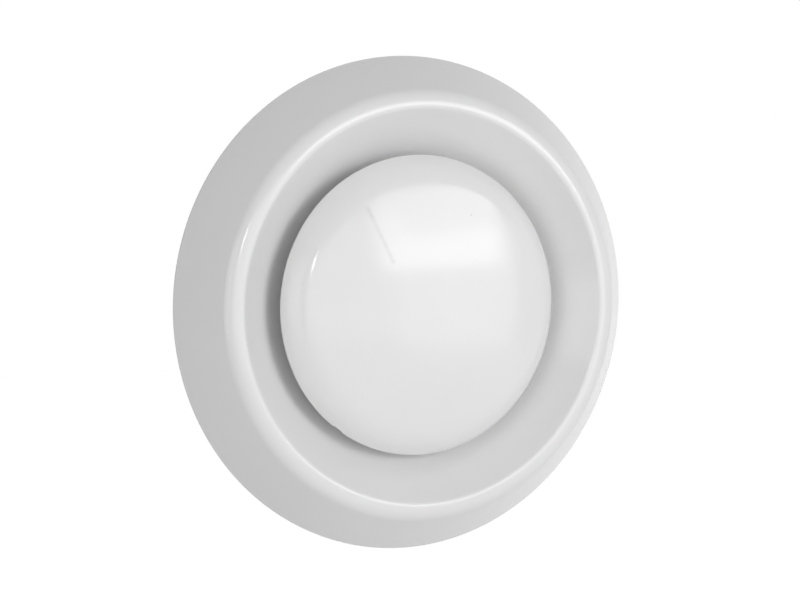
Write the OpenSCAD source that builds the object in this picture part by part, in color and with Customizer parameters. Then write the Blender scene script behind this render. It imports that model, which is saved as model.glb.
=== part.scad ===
// Round ventilation disc valve for the end of a duct. It hangs on a wall: its front faces -Y and +Z is up.
// The origin is on the valve's axis, in the wall plane. Every piece is drawn with its axis along Z and its
// front towards +Z, so a height is a distance off the wall, and placed() turns it to its own frame.

/* [Duct and sleeve] */
// Inside diameter of the duct
duct_d = 125; // [115:1:160]
// Clearance all round between the duct and the spigot
duct_fit = 0.5; // [0.3:0.1:1]
// Wall of the spigot
sleeve_wall = 1.8; // [1.2:0.1:2.6]
// Length of the spigot behind the wall
spigot_len = 50; // [35:1:80]
// Thickness of the flange
flange_t = 2.2; // [1.6:0.1:3]
// How far the flange stays inside the face's rim
flange_inset = 8; // [5:0.5:9]
// Thickness of the foam behind the flange
gasket_t = 1.5; // [1:0.1:2]
// Number of screw holes in the flange
screw_count = 4; // [3:1:6]
// Diameter of a screw hole
screw_hole_d = 4.4; // [3.5:0.1:5]
// Diameter of its countersink at the flange's front
screw_head_d = 6.6; // [5.5:0.1:8]

/* [Bayonet] */
// Number of lugs and ramps
lug_count = 3; // [2:1:4]
// Angle that one lug spans
lug_deg = 26; // [15:1:30]
// Angle that one ramp spans
ramp_deg = 40; // [34:1:46]
// Angle of the stop at the end of a ramp
stop_deg = 4; // [3:0.5:6]
// Depth of the ramps' front behind the wall
ramp_depth = 4; // [3:0.1:5]
// Thickness of ramps and lugs
bayonet_t = 2.8; // [2:0.1:3.2]
// How far a ramp stands in from the sleeve's wall
ramp_w = 3.2; // [2.6:0.1:4]
// Clearance between a lug and the sleeve's wall
lug_gap = 1.4; // [0.8:0.1:1.8]
// Clearance between a ramp and the lug behind it
lug_slack = 0.4; // [0.3:0.1:0.6]
// Space between the sleeve's wall and the collar's neck
bayonet_space = 8; // [6:0.1:9]

/* [Collar] */
// How far the face stands out past the duct
face_margin = 19.5; // [17:0.5:30]
// Wall of the collar
collar_wall = 2; // [1.5:0.1:2.1]
// Height of the crest off the wall
crest_h = 17.7; // [15:0.1:22]
// How far the crest stands out past the neck
crest_out = 13.3; // [12:0.1:15]
// Width of the funnel, from the throat to the crest
funnel_w = 23; // [22:0.1:25]
// Radius of the crest's outer shoulder
shoulder_r = 6.8; // [4:0.1:9]
// Radius of the crest's inner edge
crest_edge_r = 1; // [0.6:0.1:1.8]
// Radius of the funnel's slight hollow
hollow_r = 200; // [120:5:400]
// Radius of the bend from the funnel into the throat
bend_r = 3; // [2.2:0.1:4]
// Depth of that bend's centre behind the wall
bend_depth = 5; // [4:0.1:7]
// Height of the square rim at the outside
rim_land = 0.9; // [0.5:0.1:2]
// Clearance between the rim and the wall
rim_gap = 0.3; // [0.2:0.1:0.6]
// Depth of the throat's end behind the wall
throat_depth = 21; // [20:0.5:25]
// Depth of the neck's end behind the wall
neck_depth = 14; // [13:0.5:17]

/* [Spider] */
// Number of arms
arm_count = 3; // [3:1:5]
// Thickness of an arm
arm_t = 3.6; // [2.5:0.1:5]
// Depth of an arm where it meets the throat
arm_depth = 7; // [5:0.5:8]
// Diameter of the hub
hub_d = 21; // [19:0.5:26]
// Length of the hub
hub_len = 14; // [12:0.5:18]

/* [Disc] */
// How far the valve is open, along the axis from the funnel to the disc's lip
opening = 7.6; // [1:0.1:15]
// How far the lip reaches out past the throat
lip_over = 6.9; // [5:0.1:8]
// Radius of the dome's broad middle
dome_r = 190; // [120:5:400]
// Radius of the dome's shoulder
dome_shoulder_r = 14.5; // [8:0.5:20]
// Slope of the shoulder where it meets the lip
lip_slope = 58; // [40:1:64]
// Radius of the lip
lip_r = 0.3; // [0.2:0.1:0.8]
// How far the rim ends behind the lip
rim_depth = 6.5; // [5:0.5:9]
// Wall of the disc
disc_wall = 2; // [1.5:0.1:2.5]
// Clearance between the rim and the throat's wall
rim_clear = 0.7; // [0.5:0.1:1.5]
// Draft of the rim over its depth
rim_draft = 0.2; // [0.1:0.1:0.5]
// Number of ribs behind the dome
rib_count = 6; // [3:1:8]
// Thickness of a rib
rib_t = 1.5; // [1:0.1:2]
// Diameter of the boss
boss_d = 17; // [15:0.5:20]
// How far the boss ends behind the lip
boss_drop = 3; // [1:0.5:5]
// Angle of the moulding gate's mark on the lip
gate_deg = 237; // [0:1:359]
// Length of that mark
gate_len = 4; // [2:0.5:8]

/* [Spindle] */
// Diameter of the spindle
spindle_d = 8; // [8:0.1:8.4]
// Fit of the spindle in its nuts and in the boss, all round
spindle_fit = 0.05; // [0.02:0.01:0.08]
// Clearance of the spindle in the hub and the washers, all round
spindle_clear = 0.3; // [0.2:0.1:0.5]
// Width across flats of the nuts
nut_af = 13; // [13:0.1:13.6]
// Thickness of a full nut
nut_t = 6.5; // [6:0.1:7]
// Thickness of the thin nut under the boss
thin_nut_t = 4; // [3.5:0.1:5]
// Clearance of the hub's nut in its pocket, all round
pocket_fit = 0.15; // [0.1:0.05:0.3]
// Outside diameter of the washers
washer_d = 17; // [16:0.5:20]
// Thickness of the washers
washer_t = 1.6; // [1.2:0.1:2]
// How far the disc screws out from the opening drawn
travel_out = 12; // [8:0.5:15]
// How far the lock nut screws back from the hub
lock_back = 5; // [3:0.5:8]
// Thickness of the spring clip
clip_t = 1; // [0.8:0.1:1.2]
// Depth of the clip's groove
groove_depth = 1; // [0.7:0.1:1.2]

/* [Hidden] */
$fn = 180;
arc_steps = 8;
// What two solids share where one grows out of the other
merge = 1;
// What a cutter stands past a face
past = 1;
// Small running and stopping clearances
seat_gap = 0.3;
shut_gap = 0.4;
stop_gap = 0.4;
hub_gap = 0.8;
lug_stop_gap_deg = 1;
lug_free_deg = 3;

// Sleeve
spigot_r = duct_d / 2 - duct_fit;
sleeve_r = spigot_r - sleeve_wall;
flange_h = gasket_t + flange_t;
face_r = duct_d / 2 + face_margin;
flange_r = face_r - flange_inset;
screw_circle_r = (spigot_r + flange_r) / 2;
screw_deg = 45;
gasket_gap = 0.3;
gasket_inset = 2;
sleeve_tip = 1;
// The spigot's root is thicker by this step, down to the wall plane
root_step = 0.8;
root_r = spigot_r + root_step;

// Bayonet
ramp_h = -ramp_depth;
ramp_rear_h = ramp_h - bayonet_t;
lug_h = ramp_rear_h - lug_slack;
lug_rear_h = lug_h - bayonet_t;
lug_r = sleeve_r - lug_gap;
ramp_r = sleeve_r - ramp_w;
lug_start_deg = stop_deg + lug_stop_gap_deg;

// Collar, from the sleeve inwards and from the throat out to the rim
neck_r = sleeve_r - bayonet_space;
neck_in_r = neck_r - collar_wall;
crest_r = neck_r + crest_out;
throat_r = crest_r - funnel_w;
shoulder_c = [crest_r, crest_h - shoulder_r];
edge_c = [crest_r, crest_h - crest_edge_r];
bend_c = [throat_r + bend_r, -bend_depth];
rim_top = [face_r, rim_gap + rim_land];
skirt_deg = touch_deg(rim_top, shoulder_c, shoulder_r);
hollow_c = meet(edge_c, hollow_r + crest_edge_r, bend_c, hollow_r + bend_r);
funnel_top_deg = polar(hollow_c - edge_c);
funnel_low_deg = polar(hollow_c - bend_c);

// Disc
disc_r = throat_r + lip_over;
lip_land = 0.8;
lip_h = funnel_h(disc_r, 0) + opening + lip_land;
rim_end_h = lip_h - rim_depth;
rim_r = throat_r - rim_clear;
rim_in_r = rim_r - disc_wall;
lip_c = [disc_r - lip_r, lip_h];
dome_shoulder_c = lip_c - (dome_shoulder_r - lip_r) * [sin(lip_slope), cos(lip_slope)];
dome_drop = sqrt(pow(dome_r - dome_shoulder_r, 2) - pow(dome_shoulder_c[0], 2));
dome_c = [0, dome_shoulder_c[1] - dome_drop];
dome_deg = asin(dome_shoulder_c[0] / (dome_r - dome_shoulder_r));
dome_h = dome_c[1] + dome_r;
boss_h = lip_h - boss_drop;
rib_foot = 2;
bore_cap = 3;
bore_top_h = dome_h - disc_wall - bore_cap;
gate_depth = 0.25;

// Along the axis, from the boss to the spindle's end
spindle_r = spindle_d / 2;
bore_r = spindle_r + spindle_fit;
clear_r = spindle_r + spindle_clear;
boss_nut_h = boss_h - thin_nut_t;
hub_h = boss_nut_h - (opening - shut_gap) - hub_gap;
hub_rear_h = hub_h - hub_len;
lock_washer_h = hub_rear_h - washer_t;
lock_nut_h = lock_washer_h - nut_t;
stop_washer_h = lock_nut_h - lock_back - travel_out - stop_gap - washer_t;
stop_clip_h = stop_washer_h - clip_t;
spindle_tail = 2;
spindle_end_h = stop_clip_h - spindle_tail;
spindle_tip = 0.8;
groove_r = spindle_r - groove_depth;
clip_inset = 1;
clip_r = washer_d / 2 - clip_inset;

// Spider: the steps from its hub's ends to the arms, and from the bend's centre down to their outer ends
arm_front_step = 2;
arm_rear_step = 1;
arm_drop = 5.5;
arm_out_h = -bend_depth - arm_drop;

// Points of an arc round c, angles counted from the outward direction towards the front
function arc(c, r, a0, a1, n = arc_steps) = [for (i = [0:n]) c + r * dir(a0 + (a1 - a0) * i / n)];
function dir(a) = [cos(a), sin(a)];
function polar(v) = atan2(v[1], v[0]);
// A fillet's radius after t of wall is taken off it
function inner(r, t) = max(r - t, 0.05);
// Angle at which a line from p touches the circle round c
function touch_deg(p, c, r) = polar(p - c) + acos(r / norm(p - c));
// The point at distances ra from a and rb from b, on the right of the way from a to b
function meet(a, ra, b, rb) =
    let (d = norm(b - a), u = (b - a) / d, x = (d * d + ra * ra - rb * rb) / (2 * d))
    a + x * u + sqrt(ra * ra - x * x) * [u[1], -u[0]];

// Height of the funnel at the radius x, t inside its surface
function funnel_h(x, t) = hollow_c[1] - sqrt(pow(hollow_r + t, 2) - pow(x - hollow_c[0], 2));
// The funnel and its bend into the throat, t inside the surface, from the angle a0 round the hollow's centre
function funnel_points(t, a0) = concat(
    arc(hollow_c, hollow_r + t, a0, 180 + funnel_low_deg),
    arc(bend_c, inner(bend_r, t), funnel_low_deg, 180)
);
// The collar's face: skirt, shoulder, crest and funnel
function face_front() = concat(
    arc(shoulder_c, shoulder_r, skirt_deg, 90),
    arc(edge_c, crest_edge_r, 90, funnel_top_deg),
    funnel_points(0, 180 + funnel_top_deg)
);
// Its back, t inside the face, where shoulder and funnel meet in a crease under the crest
function face_back(t) =
    let (crease = meet(shoulder_c, inner(shoulder_r, t), hollow_c, hollow_r + t))
    concat(
        arc(shoulder_c, inner(shoulder_r, t), skirt_deg, polar(crease - shoulder_c)),
        funnel_points(t, 180 + polar(hollow_c - crease))
    );
// Where the skirt, t inside its surface, meets the height h
function skirt_at(t, h) =
    let (p = shoulder_c + inner(shoulder_r, t) * dir(skirt_deg))
    [p[0] + (p[1] - h) * tan(skirt_deg), h];
function reversed(list) = [for (i = [len(list) - 1:-1:0]) list[i]];

// The dome, t inside its surface, from the axis to the lip
function dome_points(t) = concat(
    arc(dome_c, dome_r - t, 90, 90 - dome_deg),
    arc(dome_shoulder_c, dome_shoulder_r - t, 90 - dome_deg, 90 - lip_slope)
);
// Height of the middle of the dome's wall at the radius x, on its shoulder
function dome_mid_h(x) =
    dome_shoulder_c[1] + sqrt(pow(dome_shoulder_r - disc_wall / 2, 2) - pow(x - dome_shoulder_c[0], 2));

module placed() { rotate([90, 0, 0]) children(); }

// A ring between two radii and two heights
module ring(r_in, r_out, h0, h1) {
    translate([0, 0, h0]) difference() {
        cylinder(r = r_out, h = h1 - h0);
        translate([0, 0, -past]) cylinder(r = r_in, h = h1 - h0 + 2 * past);
    }
}

// A part of a ring, from angle a0 over da degrees
module ring_part(r_in, r_out, h0, h1, a0, da) {
    rotate([0, 0, a0]) rotate_extrude(angle = da)
        translate([r_in, h0]) square([r_out - r_in, h1 - h0]);
}

module copies(n) { for (i = [0:n - 1]) rotate([0, 0, i * 360 / n]) children(); }

// A hexagon nut with its corners turned down and its bore countersunk
module hex_nut(t, h0) {
    corner_r = nut_af / 2 / cos(30);
    flat_r = nut_af / 2;
    drop = (corner_r - flat_r) * tan(30);
    sink = 0.5;
    translate([0, 0, h0]) difference() {
        intersection() {
            cylinder(r = corner_r, h = t, $fn = 6);
            rotate_extrude() polygon([
                [0, 0], [flat_r, 0], [corner_r, drop], [corner_r, t - drop], [flat_r, t], [0, t],
            ]);
        }
        rotate_extrude() polygon([
            [0, -past], [bore_r + sink + past, -past], [bore_r, sink], [bore_r, t - sink],
            [bore_r + sink + past, t + past], [0, t + past],
        ]);
    }
}

module washer(h0) { ring(clear_r, washer_d / 2, h0, h0 + washer_t); }

module screw_holes(r, h0, h1) {
    copies(screw_count) rotate([0, 0, screw_deg]) translate([screw_circle_r, 0, h0])
        cylinder(r = r, h = h1 - h0, $fn = 48);
}

module mounting_sleeve() placed() color("whitesmoke") {
    sink_h = (screw_head_d - screw_hole_d) / 2;
    difference() {
        rotate_extrude() polygon([
            [sleeve_r, -spigot_len], [spigot_r - sleeve_tip, -spigot_len],
            [spigot_r, -spigot_len + 2 * sleeve_tip], [spigot_r, 0],
            [root_r, 0], [root_r, gasket_t], [flange_r, gasket_t],
            [flange_r, flange_h - sleeve_tip], [flange_r - sleeve_tip, flange_h],
            [sleeve_r + sleeve_tip, flange_h], [sleeve_r, flange_h - sleeve_tip],
        ]);
        screw_holes(screw_hole_d / 2, gasket_t - past, flange_h + past);
        copies(screw_count) rotate([0, 0, screw_deg]) translate([screw_circle_r, 0, flange_h - sink_h])
            cylinder(r1 = screw_hole_d / 2, r2 = screw_head_d / 2 + past, h = sink_h + past, $fn = 48);
    }
    copies(lug_count) {
        ring_part(ramp_r, sleeve_r + sleeve_wall / 2, ramp_rear_h, ramp_h, 0, ramp_deg);
        ring_part(ramp_r, sleeve_r + sleeve_wall / 2, lug_rear_h, ramp_rear_h + merge, 0, stop_deg);
    }
}

module wall_gasket() placed() color("dimgray") difference() {
    ring(root_r + gasket_gap, flange_r - gasket_inset, 0, gasket_t);
    screw_holes(screw_hole_d / 2 + gasket_gap, -past, gasket_t + past);
}

module collar_shell() {
    rotate_extrude() polygon(concat(
        [[face_r, rim_gap], rim_top],
        face_front(),
        [[throat_r, -throat_depth], [throat_r + collar_wall, -throat_depth]],
        reversed(face_back(collar_wall)),
        [skirt_at(collar_wall, rim_gap)]
    ));
}

// The ring behind the funnel that carries the lugs, rooted in the middle of the funnel's wall
module neck() {
    rotate_extrude() polygon([
        [neck_in_r, -neck_depth], [neck_r, -neck_depth],
        [neck_r, funnel_h(neck_r, collar_wall / 2)], [neck_in_r, funnel_h(neck_in_r, collar_wall / 2)],
    ]);
}

module collar() placed() color("white") {
    collar_shell();
    neck();
    copies(lug_count)
        ring_part(neck_r - collar_wall / 2, lug_r, lug_rear_h, lug_h, lug_start_deg, lug_deg);
}

// The hub and its arms, whose ends lie on the throat's wall
module spider() placed() color("white") difference() {
    union() {
        translate([0, 0, hub_rear_h]) cylinder(r = hub_d / 2, h = hub_len);
        intersection() {
            rotate_extrude() polygon([
                [clear_r + merge, hub_h - arm_front_step], [throat_r, arm_out_h],
                [throat_r, arm_out_h - arm_depth], [clear_r + merge, hub_rear_h + arm_rear_step],
            ]);
            copies(arm_count) rotate([0, 0, 90]) translate([0, -arm_t / 2, -throat_depth])
                cube([throat_r + past, arm_t, throat_depth]);
        }
    }
    translate([0, 0, hub_rear_h - past]) cylinder(r = clear_r, h = hub_len + 2 * past);
    translate([0, 0, hub_rear_h - past])
        cylinder(r = (nut_af / 2 + pocket_fit) / cos(30), h = nut_t + past, $fn = 6);
}

module collar_seal() placed() color("dimgray")
    ring(neck_r, sleeve_r - seat_gap, ramp_h + hub_gap, funnel_h(neck_r, collar_wall) - seat_gap);

module hub_nut() placed() color("silver") hex_nut(nut_t, hub_rear_h);

module lock_washer() placed() color("silver") washer(lock_washer_h);

module lock_nut() placed() color("silver") hex_nut(nut_t, lock_nut_h);

// The space behind the dome in which ribs stand, down to a line from the boss to the rim
module rib_space() {
    end_r = rim_r - disc_wall / 2;
    rotate_extrude() polygon(concat(
        [[0, boss_h + rib_foot]],
        [for (p = dome_points(disc_wall / 2)) if (p[0] < end_r) p],
        [[end_r, dome_mid_h(end_r)], [end_r, rim_end_h + rib_foot], [boss_d / 2, boss_h + rib_foot]]
    ));
}

module disc() placed() color("white") {
    difference() {
        union() {
            rotate_extrude() polygon(concat(
                dome_points(0),
                arc(lip_c, lip_r, 90 - lip_slope, 0),
                [[disc_r, lip_h - lip_land]],
                reversed(dome_points(disc_wall))
            ));
            rotate_extrude() polygon([
                [rim_in_r, dome_mid_h(rim_in_r)], [rim_r, dome_mid_h(rim_r)],
                [rim_r - rim_draft, rim_end_h], [rim_in_r, rim_end_h],
            ]);
            translate([0, 0, boss_h]) cylinder(r = boss_d / 2, h = dome_h - disc_wall / 2 - boss_h);
            intersection() {
                rib_space();
                copies(rib_count) translate([boss_d / 2 - merge, -rib_t / 2, rim_end_h])
                    cube([disc_r, rib_t, dome_h - rim_end_h]);
            }
        }
        translate([0, 0, boss_h - past]) cylinder(r = bore_r, h = bore_top_h - boss_h + past);
        rotate([0, 0, gate_deg]) translate([disc_r - gate_depth, -gate_len / 2, lip_h - lip_land - past])
            cube([past, gate_len, lip_land + past]);
    }
}

module spindle() placed() color("silver") rotate_extrude() polygon([
    [0, spindle_end_h], [spindle_r - spindle_tip, spindle_end_h],
    [spindle_r, spindle_end_h + spindle_tip], [spindle_r, stop_clip_h],
    [groove_r, stop_clip_h], [groove_r, stop_washer_h], [spindle_r, stop_washer_h],
    [spindle_r, bore_top_h - spindle_tip], [spindle_r - spindle_tip, bore_top_h], [0, bore_top_h],
]);

module boss_nut() placed() color("silver") hex_nut(thin_nut_t, boss_nut_h);

module stop_washer() placed() color("silver") washer(stop_washer_h);

module stop_clip() placed() color("silver") difference() {
    ring(groove_r + spindle_fit, clip_r, stop_clip_h, stop_washer_h);
    translate([0, -groove_r, stop_clip_h - past]) cube([clip_r + past, 2 * groove_r, clip_t + 2 * past]);
}

mounting_sleeve();
wall_gasket();
collar();
spider();
collar_seal();
hub_nut();
lock_washer();
lock_nut();
disc();
spindle();
boss_nut();
stop_washer();
stop_clip();
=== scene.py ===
"""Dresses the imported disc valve: smooth mouldings, foam, zinc-plated steel with real threads, camera and light.

Sizes in the tables below are millimetres, as in the part's source: r is a distance from the valve's axis
and h a height off the wall, towards the front. In the scene the front faces -Y, so h becomes -Y.
"""

import math

import bpy
from bpy.props import FloatProperty, FloatVectorProperty, IntProperty, PointerProperty
from bpy.types import Operator, Panel, PropertyGroup
from mathutils import Matrix, Vector


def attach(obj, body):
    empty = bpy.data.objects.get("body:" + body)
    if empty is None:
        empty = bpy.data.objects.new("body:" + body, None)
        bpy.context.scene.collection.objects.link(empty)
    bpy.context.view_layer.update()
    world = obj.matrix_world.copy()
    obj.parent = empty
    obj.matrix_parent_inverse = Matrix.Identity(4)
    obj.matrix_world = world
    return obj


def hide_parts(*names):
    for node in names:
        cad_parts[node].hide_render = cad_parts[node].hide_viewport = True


bl_info = {
    "name": "Disc valve dressing",
    "version": (1, 0, 0),
    "blender": (4, 5, 0),
    "location": "View3D > Sidebar > Disc valve",
    "description": "Builds the looks of a round ventilation disc valve on its packed frame",
    "category": "Object",
}

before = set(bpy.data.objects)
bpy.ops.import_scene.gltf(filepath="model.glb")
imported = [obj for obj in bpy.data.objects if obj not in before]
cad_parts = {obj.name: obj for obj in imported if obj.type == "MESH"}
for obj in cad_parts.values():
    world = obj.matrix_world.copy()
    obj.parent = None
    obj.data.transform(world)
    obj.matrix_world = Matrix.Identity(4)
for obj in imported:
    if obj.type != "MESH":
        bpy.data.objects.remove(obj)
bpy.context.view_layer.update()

MM = 0.001
SAME_POINT = 1e-6
SMOOTH_ANGLE = 32

# Sizes of the hidden parts, in millimetres. Ends, rears and fronts are heights off the wall, towards the front,
# and WALL is the mouldings' thickness
WALL = 2.0
NECK_R, NECK_END, THROAT_END = 52.2, -14.0, -21.0
SCREW_CIRCLE_R, SCREW_HOLE_R, SCREW_HEAD_R, GASKET_HOLE_R = 68.0, 2.2, 4.3, 2.5
BOLT_R, WASHER_HOLE_R, WASHER_R, WASHER = 4.05, 4.3, 8.5, 1.6
NUT_FLAT_R, NUT, THIN_NUT = 6.5, 6.5, 4.0
SPINDLE_END, GROOVE_REAR, GROOVE_FRONT = -48.447, -46.447, -45.447
HUB_REAR, HUB_FRONT = -18.347, -4.347
BORE_DEPTH = 5.0


# Points and outlines

def direction(degrees):
    return Vector((math.cos(math.radians(degrees)), math.sin(math.radians(degrees))))


def bearing(v):
    return math.degrees(math.atan2(v[1], v[0]))


def arc(centre, radius, start, end, steps):
    """Points of an arc, its angles counted from the outward direction towards the front."""
    return [Vector(centre) + radius * direction(start + (end - start) * i / steps) for i in range(steps + 1)]


def meeting_point(a, ra, b, rb):
    """The point at distance ra from a and rb from b, on the right of the way from a to b."""
    d = (b - a).length
    u = (b - a) / d
    x = (d * d + ra * ra - rb * rb) / (2 * d)
    return a + x * u + math.sqrt(ra * ra - x * x) * Vector((u[1], -u[0]))


def rounded(points, radius, steps=4):
    """The closed outline with each corner whose radius isn't 0 turned into a small arc."""
    made = []
    count = len(points)
    for i, here in enumerate(points):
        r = radius[i] if isinstance(radius, (list, tuple)) else radius
        before, after = points[i - 1], points[(i + 1) % count]
        p, a, b = Vector(here), Vector(before), Vector(after)
        to_a, to_b = (a - p).normalized(), (b - p).normalized()
        turn = to_a.angle(to_b)
        if r <= 0 or turn > math.radians(179):
            made.append(p)
            continue
        cut = r / math.tan(turn / 2)
        first, last = p + to_a * cut, p + to_b * cut
        centre = p + (to_a + to_b).normalized() * (r / math.sin(turn / 2))
        a0, a1 = bearing(first - centre), bearing(last - centre)
        sweep = (a1 - a0 + 180) % 360 - 180
        made += [centre + r * direction(a0 + sweep * k / steps) for k in range(steps + 1)]
    return made


def ring_section(inner, outer, low, high):
    """The rectangle that a flat ring is spun from."""
    return [(inner, low), (outer, low), (outer, high), (inner, high)]


def screw_places():
    """The places of the four wall screws, (x, z) in metres."""
    angles = [math.radians(45 + 90 * i) for i in range(4)]
    return [(SCREW_CIRCLE_R * MM * math.cos(a), SCREW_CIRCLE_R * MM * math.sin(a)) for a in angles]


# Modelling steps

def deselect():
    if bpy.context.mode != "OBJECT":
        bpy.ops.object.mode_set(mode="OBJECT")
    bpy.ops.object.select_all(action="DESELECT")


def pick(*pieces):
    deselect()
    for piece in pieces:
        piece.select_set(True)
    bpy.context.view_layer.objects.active = pieces[0]


def outline_loop(name, outline):
    """A circle whose points are moved to a closed outline of (r, h), in the plane of +X and the axis."""
    deselect()
    bpy.ops.mesh.primitive_circle_add(vertices=len(outline), radius=0.01, location=(0, 0, 0))
    piece = bpy.context.active_object
    piece.name = name
    for vertex, (r, h) in zip(piece.data.vertices, outline):
        vertex.co = (r * MM, -h * MM, 0.0)
    return piece


def turned(name, outline, steps, sweep=360.0):
    """A piece spun from its outline round the valve's axis, from +X counter-clockwise seen from the front."""
    piece = outline_loop(name, outline)
    pick(piece)
    bpy.ops.object.mode_set(mode="EDIT")
    bpy.ops.mesh.select_all(action="SELECT")
    bpy.ops.mesh.spin(steps=steps, angle=math.radians(sweep), center=(0, 0, 0), axis=(0, -1, 0))
    bpy.ops.mesh.select_all(action="SELECT")
    bpy.ops.mesh.remove_doubles(threshold=SAME_POINT)
    if sweep < 360:
        bpy.ops.mesh.select_all(action="DESELECT")
        bpy.ops.mesh.select_non_manifold(extend=False)
        bpy.ops.mesh.fill_holes(sides=0)
        bpy.ops.mesh.select_all(action="SELECT")
    bpy.ops.mesh.delete_loose()
    bpy.ops.mesh.select_all(action="SELECT")
    bpy.ops.mesh.normals_make_consistent(inside=False)
    bpy.ops.object.mode_set(mode="OBJECT")
    return piece


def turn_mesh(piece, degrees):
    """Turns the mesh round the valve's axis, counter-clockwise seen from the front."""
    piece.data.transform(Matrix.Rotation(math.radians(-degrees), 4, "Y"))
    piece.data.update()


def plate(name, outline, thickness):
    """A flat plate in the plane of +X and the axis, of the outline's shape."""
    piece = outline_loop(name, outline)
    pick(piece)
    bpy.ops.object.mode_set(mode="EDIT")
    bpy.ops.mesh.select_all(action="SELECT")
    bpy.ops.mesh.edge_face_add()
    bpy.ops.mesh.extrude_region_move(TRANSFORM_OT_translate={"value": (0, 0, thickness * MM)})
    bpy.ops.mesh.select_all(action="SELECT")
    bpy.ops.transform.translate(value=(0, 0, -thickness * MM / 2))
    bpy.ops.mesh.normals_make_consistent(inside=False)
    bpy.ops.object.mode_set(mode="OBJECT")
    return piece


def around(piece, count, first=0.0):
    """Copies of the piece round the axis, each with its own mesh."""
    made = [piece]
    for i in range(1, count):
        pick(piece)
        bpy.ops.object.duplicate()
        made.append(bpy.context.active_object)
    for i, copy in enumerate(made):
        turn_mesh(copy, first + 360.0 * i / count)
    return made


def joined(name, pieces):
    pick(*pieces)
    if len(pieces) > 1:
        bpy.ops.object.join()
    piece = bpy.context.active_object
    piece.name = piece.data.name = name
    return piece


def cut_away(piece, cutters):
    for cutter in cutters:
        modifier = piece.modifiers.new("Cut", "BOOLEAN")
        modifier.operation = "DIFFERENCE"
        modifier.solver = "EXACT"
        modifier.object = cutter
        pick(piece)
        bpy.ops.object.modifier_apply(modifier=modifier.name)
        bpy.data.objects.remove(cutter, do_unlink=True)


def kept_inside(piece, other):
    """Keeps of the piece only what lies inside the other one."""
    modifier = piece.modifiers.new("Keep", "BOOLEAN")
    modifier.operation = "INTERSECT"
    modifier.solver = "EXACT"
    modifier.object = other
    pick(piece)
    bpy.ops.object.modifier_apply(modifier=modifier.name)
    bpy.data.objects.remove(other, do_unlink=True)


def prism(name, flat_r, low, high, sides=6):
    """A prism along the axis between two heights, flat_r from the axis to its flats. The top one lies level."""
    deselect()
    corner = flat_r * MM / math.cos(math.pi / sides)
    bpy.ops.mesh.primitive_cylinder_add(vertices=sides, radius=corner, depth=(high - low) * MM)
    piece = bpy.context.active_object
    piece.name = name
    piece.data.transform(Matrix.Rotation(math.radians(180 / sides), 4, "Z"))
    piece.data.transform(Matrix.Rotation(math.radians(90), 4, "X"))
    piece.data.transform(Matrix.Translation((0, -(low + high) / 2 * MM, 0)))
    return piece


def round_cutter(place, rear_r, front_r, low, high):
    """A cylinder or cone along the axis through place, (x, z) in metres, between two heights."""
    deselect()
    bpy.ops.mesh.primitive_cone_add(vertices=48, radius1=rear_r * MM, radius2=front_r * MM, depth=(high - low) * MM)
    piece = bpy.context.active_object
    piece.data.transform(Matrix.Rotation(math.radians(90), 4, "X"))
    piece.data.transform(Matrix.Translation((place[0], -(low + high) / 2 * MM, place[1])))
    return piece


def nut(name, low, thick):
    """An M8 nut: a hexagon with its corners turned down and its bore countersunk at both ends."""
    flat, bore, sink, play = NUT_FLAT_R, BOLT_R, 0.5, 0.01
    corner = flat / math.cos(math.radians(30))
    drop = (corner - flat) * math.tan(math.radians(30))
    high = low + thick
    piece = prism(name, flat, low, high)
    kept_inside(piece, turned("turned_down", [
        (0, low), (flat, low), (corner + play, low + drop), (corner + play, high - drop), (flat, high),
        (0, high)], 96))
    cut_away(piece, [turned("tapped_bore", [
        (0, low - 1), (bore + sink + 1, low - 1), (bore, low + sink), (bore, high - sink),
        (bore + sink + 1, high + 1), (0, high + 1)], 64)])
    soften(piece, 0.12, angle=25)
    return piece


def washer(name, low):
    """A stamped washer, its outer edge rolled over in front."""
    outline = ring_section(WASHER_HOLE_R, WASHER_R, low, low + WASHER)
    return turned(name, rounded(outline, [0.15, 0.15, 0.45, 0.15], 3), 72)


def soften(piece, width, angle=35):
    """Breaks the sharp edges with a narrow bevel, and applies it."""
    modifier = piece.modifiers.new("Soft edges", "BEVEL")
    modifier.width = width * MM
    modifier.segments = 2
    modifier.limit_method = "ANGLE"
    modifier.angle_limit = math.radians(angle)
    modifier.use_clamp_overlap = True
    pick(piece)
    bpy.ops.object.modifier_apply(modifier=modifier.name)


def finished(piece, material, body, replaces):
    """Gives the piece its shading, material, body, finish and the nodes that it stands for."""
    pick(piece)
    bpy.ops.object.shade_smooth_by_angle(angle=math.radians(SMOOTH_ANGLE))
    piece.data.materials.clear()
    piece.data.materials.append(material)
    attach(piece, body)
    for node in replaces:
        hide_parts(node)
    return piece


# Materials

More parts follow.
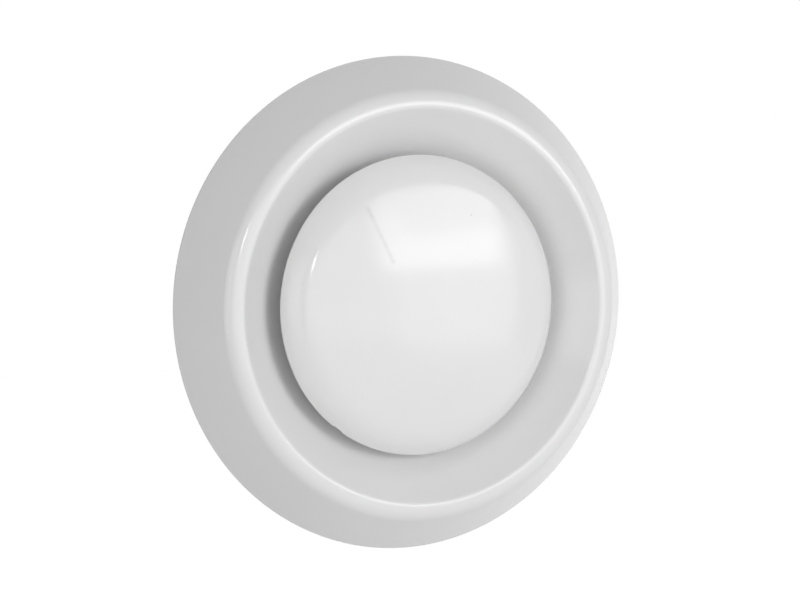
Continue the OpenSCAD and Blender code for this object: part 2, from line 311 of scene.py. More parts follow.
class Shading:
    """A node tree with short ways to add the nodes that the finishes use."""

    def __init__(self, name):
        self.material = bpy.data.materials.new(name)
        self.material.use_nodes = True
        self.nodes = self.material.node_tree.nodes
        self.links = self.material.node_tree.links
        self.shader = self.nodes["Principled BSDF"]
        self.place = self.nodes.new("ShaderNodeTexCoord").outputs["Object"]

    def set(self, **values):
        for key, value in values.items():
            self.shader.inputs[key.replace("_", " ")].default_value = value

    def link(self, source, node, socket):
        self.links.new(source, node.inputs[socket])

    def noise(self, scale, detail, roughness=0.5, stretch=(1, 1, 1)):
        mapping = self.nodes.new("ShaderNodeMapping")
        mapping.inputs["Scale"].default_value = stretch
        self.link(self.place, mapping, "Vector")
        node = self.nodes.new("ShaderNodeTexNoise")
        node.inputs["Scale"].default_value = scale
        node.inputs["Detail"].default_value = detail
        node.inputs["Roughness"].default_value = roughness
        self.link(mapping.outputs["Vector"], node, "Vector")
        return node.outputs["Fac"]

    def cells(self, scale):
        node = self.nodes.new("ShaderNodeTexVoronoi")
        node.inputs["Scale"].default_value = scale
        self.link(self.place, node, "Vector")
        return node.outputs["Distance"]

    def spread(self, source, low, high, new_low, new_high):
        """The source with its range from low to high laid onto another, and clamped to it."""
        node = self.nodes.new("ShaderNodeMapRange")
        node.inputs["From Min"].default_value = low
        node.inputs["From Max"].default_value = high
        node.inputs["To Min"].default_value = new_low
        node.inputs["To Max"].default_value = new_high
        self.link(source, node, "Value")
        return node.outputs["Result"]

    def product(self, a, b):
        node = self.nodes.new("ShaderNodeMath")
        node.operation = "MULTIPLY"
        for i, value in enumerate((a, b)):
            if isinstance(value, (int, float)):
                node.inputs[i].default_value = value
            else:
                self.links.new(value, node.inputs[i])
        return node.outputs[0]

    def blend(self, amount, first, second):
        """The first colour where the amount is 0, the second where it is 1."""
        node = self.nodes.new("ShaderNodeMix")
        node.data_type = "RGBA"
        self.link(amount, node, "Factor")
        for socket, value in (("A", first), ("B", second)):
            place = [s for s in node.inputs if s.name == socket and s.type == "RGBA"][0]
            if isinstance(value, (tuple, list)):
                place.default_value = (*value[:3], 1.0)
            else:
                self.links.new(value, place)
        return [s for s in node.outputs if s.type == "RGBA"][0]

    def bump(self, height, distance, strength=1.0, before=None):
        node = self.nodes.new("ShaderNodeBump")
        node.inputs["Strength"].default_value = strength
        node.inputs["Distance"].default_value = distance
        self.link(height, node, "Height")
        if before is not None:
            self.link(before, node, "Normal")
        return node.outputs["Normal"]

    def nearness(self, start, end, width):
        """1 on the line from start to end, falling to 0 at width from it, all in metres."""
        a, b = Vector(start), Vector(end)
        span = b - a
        offset = self.vector("SUBTRACT", self.place, a)
        along = self.vector("DOT_PRODUCT", offset, span / span.length_squared)
        node = self.nodes.new("ShaderNodeClamp")
        self.link(along, node, "Value")
        scale = self.nodes.new("ShaderNodeVectorMath")
        scale.operation = "SCALE"
        scale.inputs[0].default_value = span
        self.link(node.outputs[0], scale, "Scale")
        away = self.vector("SUBTRACT", offset, scale.outputs[0])
        length = self.vector("LENGTH", away)
        return self.spread(length, 0.0, width, 1.0, 0.0)

    def vector(self, operation, a, b=None):
        node = self.nodes.new("ShaderNodeVectorMath")
        node.operation = operation
        for i, value in enumerate((a, b)):
            if value is None:
                continue
            if isinstance(value, Vector):
                node.inputs[i].default_value = value
            else:
                self.links.new(value, node.inputs[i])
        return node.outputs["Value" if operation in ("DOT_PRODUCT", "LENGTH") else "Vector"]


def shade_of(colour, factor):
    return tuple(min(1.0, c * factor) for c in colour)


def gloss_moulding(name, finish, marks=()):
    """White moulded plastic: a smooth skin with faint orange peel, slow unevenness and any small grey marks listed,
    painted into the colour.
    """
    s = Shading(name)
    white = tuple(finish.face_colour)
    uneven = s.spread(s.noise(22, 3), 0.3, 0.7, 0.0, 1.0)
    colour = s.blend(uneven, shade_of(white, 0.985), shade_of(white, 1.012))
    for start, end, width, strength, shade in marks:
        ragged = s.product(s.nearness(start, end, width), s.spread(s.noise(420, 3), 0.25, 0.75, 0.35, 1.0))
        colour = s.blend(s.product(ragged, strength), colour, shade)
    s.link(colour, s.shader, "Base Color")
    rough = s.spread(s.noise(140, 4, 0.6), 0.25, 0.75, finish.face_roughness - 0.03, finish.face_roughness + 0.04)
    s.link(rough, s.shader, "Roughness")
    peel = s.bump(s.noise(620, 2), 0.00002, 0.35)
    s.link(s.bump(s.noise(28, 2), 0.0004, 0.25, before=peel), s.shader, "Normal")
    s.set(IOR=1.49, Specular_IOR_Level=0.5)
    return s.material


def satin_moulding(name, finish):
    """The sleeve's plastic: duller, with a fine spark-eroded texture from its mould."""
    s = Shading(name)
    white = tuple(finish.sleeve_colour)
    s.link(s.blend(s.spread(s.noise(35, 4), 0.3, 0.7, 0.0, 1.0), shade_of(white, 0.97), shade_of(white, 1.02)),
           s.shader, "Base Color")
    s.link(s.spread(s.noise(300, 3), 0.3, 0.7, 0.44, 0.56), s.shader, "Roughness")
    s.link(s.bump(s.noise(2600, 3, 0.7), 0.00004, 0.5), s.shader, "Normal")
    s.set(IOR=1.49)
    return s.material


def closed_cell_foam(name, finish):
    """Dark foam: cut cells of about half a millimetre over slow dents."""
    s = Shading(name)
    dark = tuple(finish.foam_colour)
    cells = s.cells(1900)
    s.link(s.blend(s.spread(cells, 0.1, 0.6, 0.0, 1.0), shade_of(dark, 0.45), shade_of(dark, 1.35)),
           s.shader, "Base Color")
    s.link(s.spread(s.noise(500, 2), 0.3, 0.7, 0.82, 0.95), s.shader, "Roughness")
    pitted = s.bump(cells, 0.00025, 0.8)
    s.link(s.bump(s.noise(120, 3), 0.0006, 0.4, before=pitted), s.shader, "Normal")
    return s.material


def zinc_plate(name, finish, stretch=(1, 1, 1)):
    """Zinc-plated steel: bright, faintly blue, with tool marks and duller patches from handling."""
    s = Shading(name)
    zinc = tuple(finish.zinc_colour)
    patches = s.spread(s.noise(240, 4, 0.65), 0.3, 0.7, 0.0, 1.0)
    s.link(s.blend(patches, shade_of(zinc, 0.86), shade_of(zinc, 1.08)), s.shader, "Base Color")
    s.link(s.spread(s.noise(420, 4, 0.6), 0.3, 0.7, 0.24, 0.42), s.shader, "Roughness")
    s.link(s.bump(s.noise(700, 3, 0.6, stretch), 0.00005, 0.35), s.shader, "Normal")
    s.set(Metallic=1.0)
    return s.material


# Settings that a user would change

class VENT_PG_face(PropertyGroup):
    face_radius: FloatProperty(name="Face radius", description="Outside radius of the collar", default=0.08197,
                               min=0.07, max=0.1, unit="LENGTH", precision=5)
    crest_radius: FloatProperty(name="Crest radius", description="Radius of the collar's highest ring",
                                default=0.0655, min=0.06, max=0.08, unit="LENGTH", precision=4)
    crest_height: FloatProperty(name="Crest height", description="Height of that ring off the wall",
                                default=0.0177, min=0.012, max=0.024, unit="LENGTH", precision=4)
    throat_radius: FloatProperty(name="Throat radius", description="Radius of the air way behind the funnel",
                                 default=0.0425, min=0.035, max=0.05, unit="LENGTH", precision=4)
    disc_radius: FloatProperty(name="Disc radius", description="Outside radius of the disc's lip",
                               default=0.0494, min=0.044, max=0.057, unit="LENGTH", precision=4)
    lip_height: FloatProperty(name="Lip height", description="Height of the disc's lip off the wall",
                              default=0.010652, min=0.0, max=0.02, unit="LENGTH", precision=5)
    turn_steps: IntProperty(name="Turn steps", description="Steps of the mouldings round the axis",
                            default=256, min=96, max=320)


class VENT_PG_finish(PropertyGroup):
    face_colour: FloatVectorProperty(name="Face plastic", description="Colour of the collar and the disc",
                                     default=(0.86, 0.86, 0.86), min=0, max=1, subtype="COLOR")
    face_roughness: FloatProperty(name="Face roughness", description="Roughness of the glossy mouldings",
                                  default=0.13, min=0.05, max=0.7, subtype="FACTOR")
    sleeve_colour: FloatVectorProperty(name="Sleeve plastic", description="Colour of the mounting sleeve",
                                       default=(0.82, 0.82, 0.81), min=0, max=1, subtype="COLOR")
    foam_colour: FloatVectorProperty(name="Foam", description="Colour of the two foam rings",
                                     default=(0.09, 0.09, 0.1), min=0, max=1, subtype="COLOR")
    zinc_colour: FloatVectorProperty(name="Zinc", description="Colour of the plated steel",
                                     default=(0.62, 0.63, 0.64), min=0, max=1, subtype="COLOR")
    # Strength of the darker grey line that is painted into the dome's colour at its upper left
    dome_grey_line: FloatProperty(name="Dome grey line", description="Strength of the grey line on the dome",
                         default=0.36, min=0, max=1, subtype="FACTOR")


class VENT_PG_stage(PropertyGroup):
    azimuth: FloatProperty(name="Azimuth", description="The camera's angle round the valve",
                           default=math.radians(-25.69), subtype="ANGLE", unit="ROTATION")
    elevation: FloatProperty(name="Elevation", description="The camera's angle above the valve's axis",
                             default=math.radians(3.89), subtype="ANGLE", unit="ROTATION")
    distance: FloatProperty(name="Distance", description="From the camera to the valve's origin",
                            default=0.6667, min=0.3, max=3, unit="LENGTH")
    lens: FloatProperty(name="Lens", description="Focal length of the camera, in millimetres",
                        default=90, min=20, max=200)
    room: FloatProperty(name="Room light", description="Strength of the even light from all round",
                        default=0.245, min=0, max=2)
    window: FloatProperty(name="Window light", description="Power of the large soft light, in watts",
                          default=4.4, min=0, max=100)
    fill: FloatProperty(name="Fill light", description="Power of the broad light in front, in watts",
                        default=7.8, min=0, max=100)
    lamp: FloatProperty(name="Lamp", description="Power of the small lamp at the upper left, in watts",
                        default=0.5, min=0, max=50)


# The outlines of the mouldings, in millimetres

class Funnel:
    """The collar's circles: shoulder, crest edge, hollow funnel and the bend into the throat."""

    def __init__(self, settings):
        self.face_r, self.crest_r = settings.face_radius / MM, settings.crest_radius / MM
        crest_h, self.throat_r = settings.crest_height / MM, settings.throat_radius / MM
        self.shoulder_r, self.edge_r, self.hollow_r, self.bend_r, self.bend_h = 6.8, 2.0, 200.0, 3.0, -5.0
        self.shoulder = Vector((self.crest_r, crest_h - self.shoulder_r))
        self.edge = Vector((self.crest_r, crest_h - self.edge_r))
        self.bend = Vector((self.throat_r + self.bend_r, self.bend_h))
        foot_h = 1.2
        self.rim = Vector((self.face_r, foot_h))
        out = self.rim - self.shoulder
        self.skirt = bearing(out) + math.degrees(math.acos(self.shoulder_r / out.length))
        self.hollow = meeting_point(self.edge, self.hollow_r + self.edge_r, self.bend, self.hollow_r + self.bend_r)
        self.top = bearing(self.hollow - self.edge) % 360
        self.low = bearing(self.hollow - self.bend) % 360

    def height(self, r, t):
        """The funnel's height at the radius r, t behind its surface."""
        return self.hollow[1] - math.sqrt((self.hollow_r + t) ** 2 - (r - self.hollow[0]) ** 2)

    def front(self):
        """The face's points from the skirt's foot over the crest to the throat."""
        return (arc(self.shoulder, self.shoulder_r, self.skirt, 90, 24)
                + arc(self.edge, self.edge_r, 90, self.top, 10)[1:]
                + arc(self.hollow, self.hollow_r, 180 + self.top, 180 + self.low, 14)[1:]
                + arc(self.bend, self.bend_r, self.low, 180, 10)[1:])

    def back(self, t):
        """The same way t behind the surface, where skirt and funnel meet in a crease."""
        crease = meeting_point(self.shoulder, self.shoulder_r - t, self.hollow, self.hollow_r + t)
        start = 180 + bearing(self.hollow - crease) % 360
        return (arc(self.shoulder, self.shoulder_r - t, self.skirt, bearing(crease - self.shoulder), 8)
                + arc(self.hollow, self.hollow_r + t, start, 180 + self.low, 10)[1:]
                + arc(self.bend, self.bend_r - t, self.low, 180, 5)[1:])


def face_outline(settings):
    """The collar's closed section: skirt, shoulder, crest, funnel, throat and the neck behind the funnel."""
    f = Funnel(settings)
    # The back's points stop short of the neck by a little, which leaves room for its fillets.
    rim_gap, short = 0.3, 0.8
    neck_in = NECK_R - WALL
    tube_r = f.throat_r + WALL
    skirt_in = f.shoulder + (f.shoulder_r - WALL) * direction(f.skirt)
    foot_in = Vector((skirt_in[0] + (skirt_in[1] - rim_gap) * math.tan(math.radians(f.skirt)), rim_gap))
    foot = rounded([foot_in, (f.face_r, rim_gap), f.rim, f.shoulder + f.shoulder_r * direction(f.skirt)],
                   [0, 0.12, 0.25, 0])
    tube = rounded([(f.throat_r, f.bend_h), (f.throat_r, THROAT_END), (tube_r, THROAT_END), (tube_r, f.bend_h)],
                   [0, 0.4, 0.4, 0])
    back = list(reversed(f.back(WALL)))
    inside = [p for p in back if p[0] < neck_in - short]
    outside = [p for p in back if p[0] > NECK_R + short]
    neck = rounded([inside[-1], (neck_in, f.height(neck_in, WALL)), (neck_in, NECK_END), (NECK_R, NECK_END),
                    (NECK_R, f.height(NECK_R, WALL)), outside[0]], [0, 0.4, 0.4, 0.4, 0.4, 0])
    return foot[:-1] + f.front() + tube[1:-1] + inside + neck[1:-1] + outside


class Dome:
    """The disc's circles: the broad dome, its round shoulder and the thin lip."""

    def __init__(self, settings):
        self.disc_r, self.lip_h = settings.disc_radius / MM, settings.lip_height / MM
        self.lip_r, self.slope, self.shoulder_r, self.dome_r = 0.3, 58.0, 14.5, 190.0
        steep = math.radians(self.slope)
        self.lip = Vector((self.disc_r - self.lip_r, self.lip_h))
        self.shoulder = self.lip - (self.shoulder_r - self.lip_r) * Vector((math.sin(steep), math.cos(steep)))
        drop = math.sqrt((self.dome_r - self.shoulder_r) ** 2 - self.shoulder[0] ** 2)
        self.dome = Vector((0, self.shoulder[1] - drop))
        self.spread = math.degrees(math.asin(self.shoulder[0] / (self.dome_r - self.shoulder_r)))
        self.top_h = self.dome[1] + self.dome_r
        self.rim_r, self.boss_r = settings.throat_radius / MM - 0.7, 8.5
        self.boss_h, self.bore_top = self.lip_h - 3.0, self.top_h - BORE_DEPTH

    def skin(self, t, fine):
        """Points of the dome and its shoulder, t inside the surface, fine times as close as the coarsest."""
        return (arc(self.dome, self.dome_r - t, 90, 90 - self.spread, 12 * fine)
                + arc(self.shoulder, self.shoulder_r - t, 90 - self.spread, 90 - self.slope, 12 * fine)[1:])

    def height(self, r, t):
        """The dome's height at the radius r, t inside its surface."""
        if r < self.shoulder[0]:
            return self.dome[1] + math.sqrt((self.dome_r - t) ** 2 - r * r)
        return self.shoulder[1] + math.sqrt((self.shoulder_r - t) ** 2 - (r - self.shoulder[0]) ** 2)


def disc_outline(settings):
    """The disc's closed section: dome, shoulder, thin lip, the rim ring behind them, and the boss."""
    d = Dome(settings)
    lip_land, rim_end, rim_draft = 0.8, d.lip_h - 6.5, 0.2
    rim_in = d.rim_r - WALL
    # The skin's points under the dome stop short of rim and boss, which leaves room for their fillets.
    under = list(reversed(d.skin(WALL, 1)))
    outside = [p for p in under if p[0] > d.rim_r + 0.6]
    inside = [p for p in under if d.boss_r + 1.0 < p[0] < rim_in - 0.8]
    lip = rounded([(d.disc_r, d.lip_h), (d.disc_r, d.lip_h - lip_land), outside[0], outside[1]], [0, 0.12, 0.3, 0])
    rim = rounded([outside[-1], (d.rim_r, d.height(d.rim_r, WALL)), (d.rim_r - rim_draft, rim_end),
                   (rim_in, rim_end), (rim_in, d.height(rim_in, WALL)), inside[0]], [0, 0.4, 0.4, 0.4, 0.5, 0])
    boss = rounded([inside[-1], (d.boss_r, d.height(d.boss_r, WALL)), (d.boss_r, d.boss_h), (BOLT_R, d.boss_h),
                    (BOLT_R, d.bore_top)], [0, 0.6, 0.4, 0.4, 0])
    return (d.skin(0, 2) + arc(d.lip, d.lip_r, 90 - d.slope, 0, 6)[1:] + lip[1:-1] + outside[1:]
            + rim[1:-1] + inside + boss[1:] + [Vector((0, d.bore_top))])


def collar_settings():
    return bpy.context.scene.vent_face


def finish_settings():
    return bpy.context.scene.vent_finish


# Operators, one for each piece or group of like pieces

class VENT_OT_collar(Operator):
    """Spin the collar's face, throat and neck, and give it its three bayonet lugs"""

    bl_idname = "vent.collar"
    bl_label = "Collar"

    def execute(self, context):
        settings = collar_settings()
        shell = turned("collar_face", face_outline(settings), settings.turn_steps)
        lug = turned("bayonet_lug", ring_section(51.2, 58.8, -10.0, -7.2), 20, 26.0)
        soften(lug, 0.4)
        piece = joined("collar_moulding", [shell, *around(lug, 3, first=5.0)])
        finished(piece, gloss_moulding("collar_gloss_white", finish_settings()), "face", ["collar"])
        return {"FINISHED"}


class VENT_OT_spider(Operator):
    """Spin the hub, give it three arms and cut the hexagonal pocket for its nut"""

    bl_idname = "vent.spider"
    bl_label = "Spider"

    def execute(self, context):
        settings = collar_settings()
        hub_r, nut_play, arm_start, arm_thick = 10.5, 0.15, 9.2, 3.6
        # The arms end a little inside the throat's wall.
        arm_end = settings.throat_radius / MM + 0.3
        outline = ring_section(WASHER_HOLE_R, hub_r, HUB_REAR, HUB_FRONT)
        hub = turned("hub", rounded(outline, [0, 0.5, 0.6, 0.3]), 96)
        cut_away(hub, [prism("pocket", NUT_FLAT_R + nut_play, HUB_REAR - 1.0, HUB_REAR + NUT)])
        arm = plate("spider_arm", [(arm_start, HUB_FRONT - 2.4), (arm_end, -10.5), (arm_end, -17.5),
                                   (arm_start, HUB_REAR + 1.0)], arm_thick)
        soften(arm, 0.5)
        piece = joined("spider_moulding", [hub, *around(arm, 3, first=90.0)])
        finished(piece, gloss_moulding("spider_gloss_white", finish_settings()), "face", ["spider"])
        return {"FINISHED"}


class VENT_OT_disc(Operator):
    """Spin the domed disc with its rim and boss, add its ribs and the gate's mark"""

    bl_idname = "vent.disc"
    bl_label = "Disc"

    def execute(self, context):
        settings = collar_settings()
        finish = finish_settings()
        d = Dome(settings)
        shell = turned("disc_dome", disc_outline(settings), settings.turn_steps)
        gate_half, gate_depth, gate_angle = 2.0, 0.3, 233
        gate = prism("gate_mark", gate_half, d.lip_h - 1.8, d.lip_h + 0.6, sides=4)
        gate.data.transform(Matrix.Translation(((d.disc_r - gate_depth + gate_half) * MM, 0, 0)))
        turn_mesh(gate, gate_angle)
        cut_away(shell, [gate])
        rib_start, rib_end, rib_thick = 7.6, d.rim_r - WALL / 2, 1.5
        tops = [(r, d.height(r, WALL / 2)) for r in (rib_end, 38.0, 34.0, 28.0, 21.0, 14.0, rib_start)]
        rib = plate("disc_rib", [(rib_start, d.lip_h - 0.9), (rib_end, d.lip_h - 4.5), *tops], rib_thick)
        soften(rib, 0.25)
        piece = joined("disc_moulding", [shell, *around(rib, 6)])
        grey = shade_of(tuple(finish.face_colour), 0.45)
        # Each mark: its start, its end and its half width in metres, its strength and its colour.
        marks = [
            # A darker grey line across the dome's upper left, painted into its colour, then a small dark speck
            ((-0.02202, -0.01745, 0.03197), (-0.01454, -0.02031, 0.01498), 0.0011, finish.dome_grey_line, grey),
            ((0.01432, -0.01856, 0.02974), (0.01472, -0.01856, 0.02957), 0.0004, 0.8, grey),
        ]
        finished(piece, gloss_moulding("disc_gloss_white", finish, marks), "plate", ["disc"])
        return {"FINISHED"}


class VENT_OT_sleeve(Operator):
    """Spin the sleeve with its flange, add the ramps and their stops, and sink the four screw holes"""

    bl_idname = "vent.sleeve"
    bl_label = "Mounting sleeve"

    def execute(self, context):
        outline = rounded(
            [(60.2, -50.0), (61.0, -50.0), (62.0, -48.0), (62.0, 0.0), (62.8, 0.0), (62.8, 1.5), (74.0, 1.5),
             (74.0, 3.7), (60.2, 3.7)], [0.3, 0.3, 1.0, 0.3, 0, 0.3, 0.3, 0.9, 0.9])
        sleeve = turned("sleeve_body", outline, 192)
        cutters = []
        for place in screw_places():
            cutters.append(round_cutter(place, SCREW_HOLE_R, SCREW_HOLE_R, 0.0, 6.0))
            cutters.append(round_cutter(place, SCREW_HOLE_R, SCREW_HEAD_R, 2.6, 4.7))
        cut_away(sleeve, cutters)
        ramp = turned("bayonet_ramp", ring_section(57.0, 61.0, -6.8, -4.0), 30, 40.0)
        soften(ramp, 0.4)
        stop = turned("bayonet_stop", ring_section(57.0, 61.0, -10.0, -6.0), 4, 4.0)
        soften(stop, 0.4)
        piece = joined("sleeve_moulding", [sleeve, *around(ramp, 3), *around(stop, 3)])
        finished(piece, satin_moulding("sleeve_satin_white", finish_settings()), "mount",
                 ["mounting_sleeve"])
        return {"FINISHED"}


class VENT_OT_foam(Operator):
    """Spin the two foam rings and punch the screw holes through the one behind the flange"""

    bl_idname = "vent.foam"
    bl_label = "Foam rings"

    def execute(self, context):
        finish = finish_settings()
        gasket = turned("wall_gasket_foam", ring_section(63.1, 72.0, 0.02, 1.48), 128)
        cut_away(gasket, [round_cutter(place, GASKET_HOLE_R, GASKET_HOLE_R, -1, 3) for place in screw_places()])
        seal_top = Funnel(collar_settings()).height(NECK_R, WALL) - 0.45
        seal = turned("collar_seal_foam", ring_section(NECK_R, 59.9, -3.2, seal_top), 128)
        for piece, body, node in ((gasket, "mount", "wall_gasket"), (seal, "face", "collar_seal")):
            soften(piece, 0.25)
            finished(piece, closed_cell_foam(node + "_foam", finish), body, [node])
        return {"FINISHED"}


class VENT_OT_steel(Operator):
    """Make the threaded spindle, the three nuts, the two washers and the spring clip"""

    bl_idname = "vent.steel"
    bl_label = "Spindle, nuts and washers"

    def execute(self, context):
        finish = finish_settings()
        d = Dome(collar_settings())
        bore_play = 0.05
        spindle = self.spindle(d.bore_top - bore_play)
        washer_h = HUB_REAR - WASHER
        rods = zinc_plate("zinc_thread", finish, (1, 0.15, 1))
        flats = zinc_plate("zinc_flats", finish)
        finished(spindle, rods, "plate", ["spindle"])
        pieces = [
            (nut("boss_nut_m8", d.boss_h - THIN_NUT, THIN_NUT), "plate", "boss_nut"),
            (nut("hub_nut_m8", HUB_REAR, NUT), "face", "hub_nut"),
            (nut("lock_nut_m8", washer_h - NUT, NUT), "lock", "lock_nut"),
            (washer("lock_washer_m8", washer_h), "lock_slide", "lock_washer"),
            (washer("stop_washer_m8", GROOVE_FRONT), "stop_slide", "stop_washer"),
            (self.clip(), "plate", "stop_clip"),
        ]
        for piece, body, node in pieces:
            finished(piece, flats, body, [node])
        return {"FINISHED"}

    def spindle(self, top):
        """A core with a groove and chamfered ends, and one helical ridge swept up it."""
        groove_r, end_r, core_r, crest_r, pitch = 3.0, 3.2, 3.32, 3.99, 1.25
        core = turned("threaded_spindle", [
            (0, SPINDLE_END), (end_r, SPINDLE_END), (crest_r, SPINDLE_END + 0.8), (crest_r, GROOVE_REAR),
            (groove_r, GROOVE_REAR), (groove_r, GROOVE_FRONT), (core_r, GROOVE_FRONT), (core_r, top), (0, top)], 48)
        turns = int((top - GROOVE_FRONT) / pitch) - 1
        start = GROOVE_FRONT + 0.1
        ridge = outline_loop("thread", [(core_r - 0.1, start), (crest_r, start + 0.48), (crest_r, start + 0.64),
                                        (core_r - 0.1, start + 1.12)])
        sweep = ridge.modifiers.new("Helix", "SCREW")
        sweep.axis = "Y"
        sweep.angle = math.radians(-360)
        sweep.screw_offset = -pitch * MM
        sweep.iterations = turns
        sweep.steps = sweep.render_steps = 30
        sweep.use_merge_vertices = True
        sweep.merge_threshold = SAME_POINT
        pick(ridge)
        bpy.ops.object.modifier_apply(modifier=sweep.name)
        bpy.ops.object.mode_set(mode="EDIT")
        bpy.ops.mesh.select_all(action="DESELECT")
        bpy.ops.mesh.select_non_manifold(extend=False)
        bpy.ops.mesh.fill_holes(sides=0)
        bpy.ops.mesh.select_all(action="SELECT")
        bpy.ops.mesh.normals_make_consistent(inside=False)
        bpy.ops.object.mode_set(mode="OBJECT")
        return joined("threaded_spindle", [core, ridge])

    def clip(self):
        """A flat ring with a slot that slips over the groove, from the axis outwards along +X."""
        inner_r, outer_r, slot_half, slot_long = 3.05, 7.5, 3.0, 1.5
        outline = ring_section(inner_r, outer_r, GROOVE_REAR, GROOVE_FRONT)
        clip = turned("spring_clip", rounded(outline, 0.2, 3), 72)
        slot = prism("clip_slot", slot_half, GROOVE_REAR - 1, GROOVE_FRONT + 1, sides=4)
        slot.data.transform(Matrix.Diagonal((slot_long, 1.0, 1.0, 1.0)))
        slot.data.transform(Matrix.Translation((slot_half * slot_long * MM, 0, 0)))
        cut_away(clip, [slot])
        return clip


PICTURE_WIDTH = 800
LENS_SHIFT = (-6.40, 3.43)
FLOOR_SIZE, FLOOR_Z, FLOOR_GLOW = 6, -0.34, 0.74

# Name, direction from the valve, distance and size in metres, setting of its power and share of that power:
# a window in front and to the right, high up, a broad wall of light below it, a fill from the left, one in
# front, and a slim lamp above the camera that leaves short streaks
LIGHTS = (
    ("window_light", (0.467, -0.85, 0.231), 1.5, (0.86, 0.47), "window", 1.0),
    ("right_wall", (0.545, -0.84, -0.01), 1.6, (0.85, 0.7), "fill", 0.45),
    ("left_fill", (-0.85, -0.52, 0.0), 1.6, (0.9, 1.2), "fill", 0.5),
    ("front_fill", (-0.08, -0.98, -0.02), 1.8, (1.6, 1.2), "fill", 1.0),
    ("slim_lamp", (-0.40, -0.88, 0.24), 1.2, (0.03, 0.12), "lamp", 1.0),
)


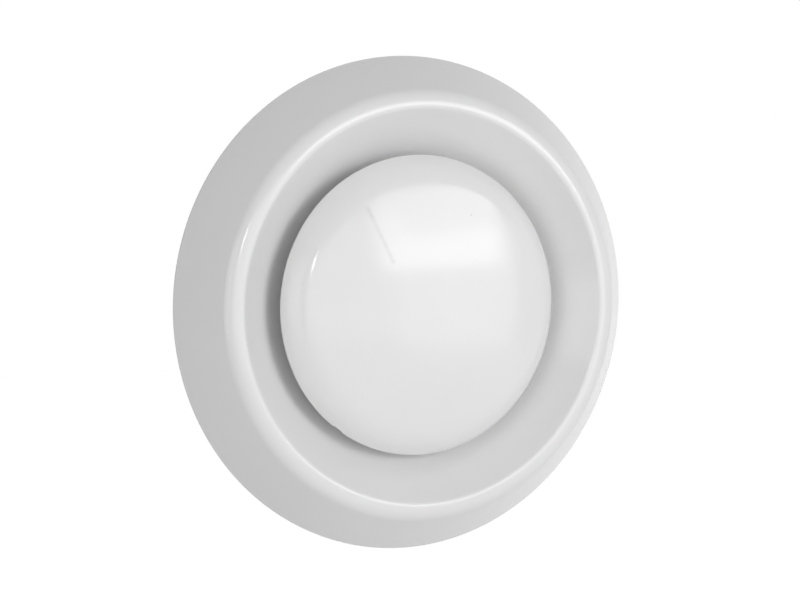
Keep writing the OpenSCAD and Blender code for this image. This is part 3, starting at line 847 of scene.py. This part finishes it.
class VENT_OT_stage(Operator):
    """Place the camera, the floor and the lights"""

    bl_idname = "vent.stage"
    bl_label = "Stage"

    def execute(self, context):
        scene = context.scene
        settings = scene.vent_stage
        a, e = settings.azimuth, settings.elevation
        back = Vector((math.sin(a) * math.cos(e), -math.cos(a) * math.cos(e), math.sin(e)))
        lens = bpy.data.cameras.new("camera")
        lens.lens, lens.sensor_width = settings.lens, 36.0
        lens.shift_x, lens.shift_y = (shift / PICTURE_WIDTH for shift in LENS_SHIFT)
        lens.clip_start, lens.clip_end = 0.01, 20.0
        camera = bpy.data.objects.new("camera", lens)
        camera.location = back * settings.distance
        camera.rotation_mode = "QUATERNION"
        camera.rotation_quaternion = (-back).to_track_quat("-Z", "Y")
        scene.collection.objects.link(camera)
        scene.camera = camera
        scene.view_settings.view_transform = "Standard"
        self.white_room(scene, settings)
        self.floor()
        for name, towards, distance, size, setting, share in LIGHTS:
            self.soft_light(name, towards, distance, size, getattr(settings, setting) * share)
        return {"FINISHED"}

    def white_room(self, scene, settings):
        """Even light from all round, and plain white for the camera and for reflections."""
        world = bpy.data.worlds.new("white_room")
        world.use_nodes = True
        nodes, links = world.node_tree.nodes, world.node_tree.links
        nodes.clear()
        lit, white = nodes.new("ShaderNodeBackground"), nodes.new("ShaderNodeBackground")
        lit.inputs["Strength"].default_value = settings.room
        lit.inputs["Color"].default_value = (1, 1, 1, 1)
        white.inputs["Strength"].default_value = 1.0
        white.inputs["Color"].default_value = (1, 1, 1, 1)
        mix = nodes.new("ShaderNodeMixShader")
        out = nodes.new("ShaderNodeOutputWorld")
        links.new(self.seen_directly(nodes, links), mix.inputs["Fac"])
        links.new(lit.outputs[0], mix.inputs[1])
        links.new(white.outputs[0], mix.inputs[2])
        links.new(mix.outputs[0], out.inputs["Surface"])
        scene.world = world

    def floor(self):
        """A plain pale floor, which glows for the camera's rays only."""
        deselect()
        bpy.ops.mesh.primitive_plane_add(size=FLOOR_SIZE, location=(0, 0, FLOOR_Z))
        floor = bpy.context.active_object
        floor.name = "floor"
        s = Shading("pale_floor")
        s.link(s.blend(s.spread(s.noise(3, 4), 0.3, 0.7, 0.0, 1.0), (0.80, 0.80, 0.80), (0.84, 0.84, 0.84)),
               s.shader, "Base Color")
        s.set(Roughness=0.8)
        s.shader.inputs["Emission Color"].default_value = (1, 1, 1, 1)
        s.link(s.product(self.seen_directly(s.nodes, s.links), FLOOR_GLOW), s.shader, "Emission Strength")
        floor.data.materials.append(s.material)

    def seen_directly(self, nodes, links):
        """1 for the camera's own rays and for those that gloss or glass sends on, else 0."""
        path = nodes.new("ShaderNodeLightPath")
        last = path.outputs["Is Camera Ray"]
        for kind in ("Is Glossy Ray", "Is Transmission Ray"):
            either = nodes.new("ShaderNodeMath")
            either.operation = "MAXIMUM"
            links.new(last, either.inputs[0])
            links.new(path.outputs[kind], either.inputs[1])
            last = either.outputs[0]
        return last

    def soft_light(self, name, towards, distance, size, power):
        """A rectangular light that faces the valve."""
        light = bpy.data.lights.new(name, "AREA")
        light.shape = "RECTANGLE"
        light.size, light.size_y = size
        light.energy = power
        piece = bpy.data.objects.new(name, light)
        towards = Vector(towards).normalized()
        piece.location = towards * distance
        piece.rotation_mode = "QUATERNION"
        piece.rotation_quaternion = (-towards).to_track_quat("-Z", "Y")
        bpy.context.scene.collection.objects.link(piece)


class VENT_PT_panel(Panel):
    bl_idname = "VENT_PT_panel"
    bl_label = "Disc valve"
    bl_space_type = "VIEW_3D"
    bl_region_type = "UI"
    bl_category = "Disc valve"

    def draw(self, context):
        column = self.layout.column(align=True)
        for operator in PIECES:
            column.operator(operator.bl_idname)
        for group in ("vent_face", "vent_finish", "vent_stage"):
            settings = getattr(context.scene, group)
            column.separator()
            for key in settings.__annotations__:
                column.prop(settings, key)


PIECES = (VENT_OT_collar, VENT_OT_spider, VENT_OT_disc, VENT_OT_sleeve, VENT_OT_foam, VENT_OT_steel, VENT_OT_stage)
CLASSES = (VENT_PG_face, VENT_PG_finish, VENT_PG_stage, *PIECES, VENT_PT_panel)


def register():
    for item in CLASSES:
        bpy.utils.register_class(item)
    bpy.types.Scene.vent_face = PointerProperty(type=VENT_PG_face)
    bpy.types.Scene.vent_finish = PointerProperty(type=VENT_PG_finish)
    bpy.types.Scene.vent_stage = PointerProperty(type=VENT_PG_stage)


def unregister():
    del bpy.types.Scene.vent_face, bpy.types.Scene.vent_finish, bpy.types.Scene.vent_stage
    for item in reversed(CLASSES):
        bpy.utils.unregister_class(item)


def main():
    register()
    bpy.ops.vent.collar()
    bpy.ops.vent.spider()
    bpy.ops.vent.disc()
    bpy.ops.vent.sleeve()
    bpy.ops.vent.foam()
    bpy.ops.vent.steel()
    bpy.ops.vent.stage()


if __name__ == "__main__":
    main()
